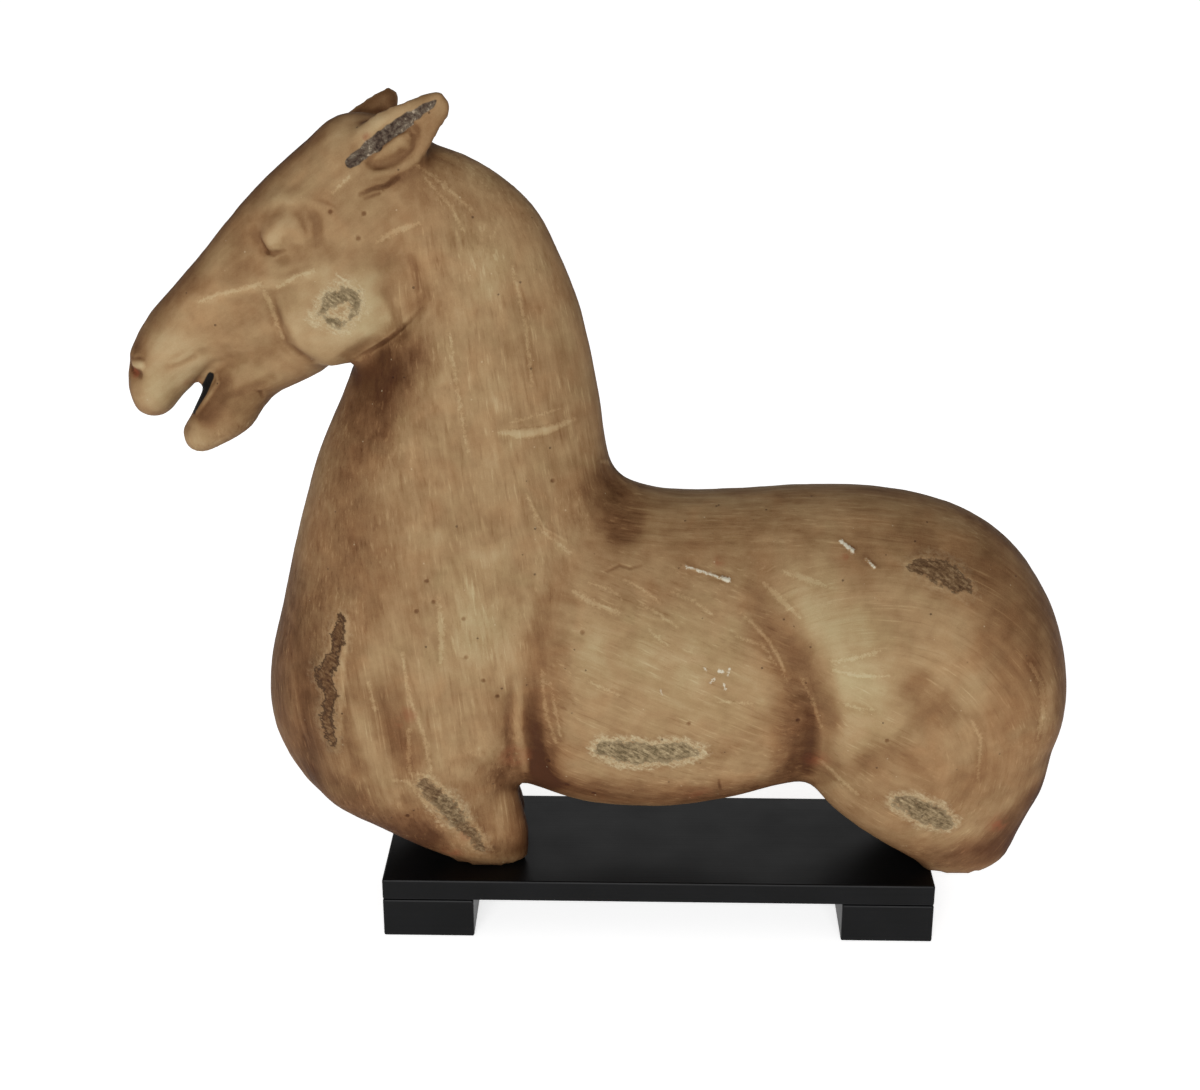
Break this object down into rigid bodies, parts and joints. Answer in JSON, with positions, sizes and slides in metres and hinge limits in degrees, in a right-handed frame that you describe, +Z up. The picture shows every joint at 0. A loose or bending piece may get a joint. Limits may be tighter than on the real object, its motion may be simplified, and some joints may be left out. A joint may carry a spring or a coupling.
{
  "type": "pottery horse figure",
  "caption": "Legless pottery horse with an arched neck, pricked ears and open mouth, resting on a low black wooden stand.",
  "frame": {"origin": "below the middle of the horse's length and width, on the plane that the stand's feet rest on", "axes": "+Z up, -X the way the horse faces, +Y towards the horse's right side"},
  "size_m": [0.6046, 0.1533, 0.5569],
  "materials": {
    "pottery": "matte brown slip, brushed and worn",
    "black_lacquer": "satin black lacquer"
  },
  "bodies": {
    "root": {"horse": "pottery", "stand_board": "black_lacquer", "stand_foot_front": "black_lacquer", "stand_foot_rear": "black_lacquer"}
  },
  "joints": []
}
